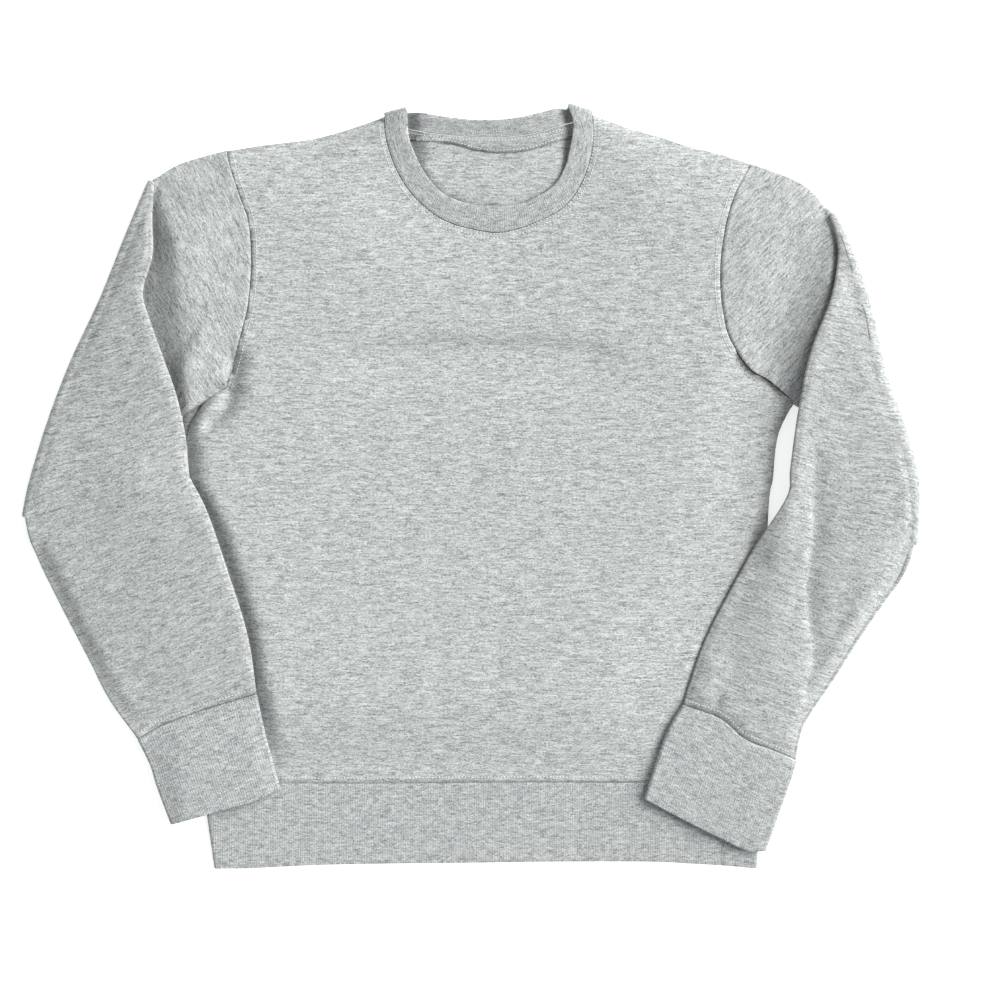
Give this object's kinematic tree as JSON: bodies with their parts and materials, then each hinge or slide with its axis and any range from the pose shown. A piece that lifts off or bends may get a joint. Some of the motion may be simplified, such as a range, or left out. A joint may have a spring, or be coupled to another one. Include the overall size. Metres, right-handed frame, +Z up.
{
  "type": "crewneck sweatshirt",
  "caption": "Light heather grey crewneck sweatshirt laid flat, both long sleeves folded over the front, with ribbed neck, cuffs and hem.",
  "frame": {"origin": "on the surface that the garment lies on, below the middle of its outline", "axes": "+Z up out of the surface, +Y towards the neck, +X to the right of the front as seen from above"},
  "size_m": [0.822, 0.7028, 0.0193],
  "materials": {
    "fleece": "light heather grey sweatshirt knit, matt",
    "rib": "light heather grey rib knit, matt",
    "tape": "light heather grey jersey tape, matt"
  },
  "bodies": {
    "root": {"back_panel": "fleece", "front_panel": "fleece", "hem_band": "rib", "neck_rib": "rib", "neck_tape": "tape", "sleeve_left": "fleece", "sleeve_right": "fleece", "cuff_left": "rib", "cuff_right": "rib"}
  },
  "joints": []
}
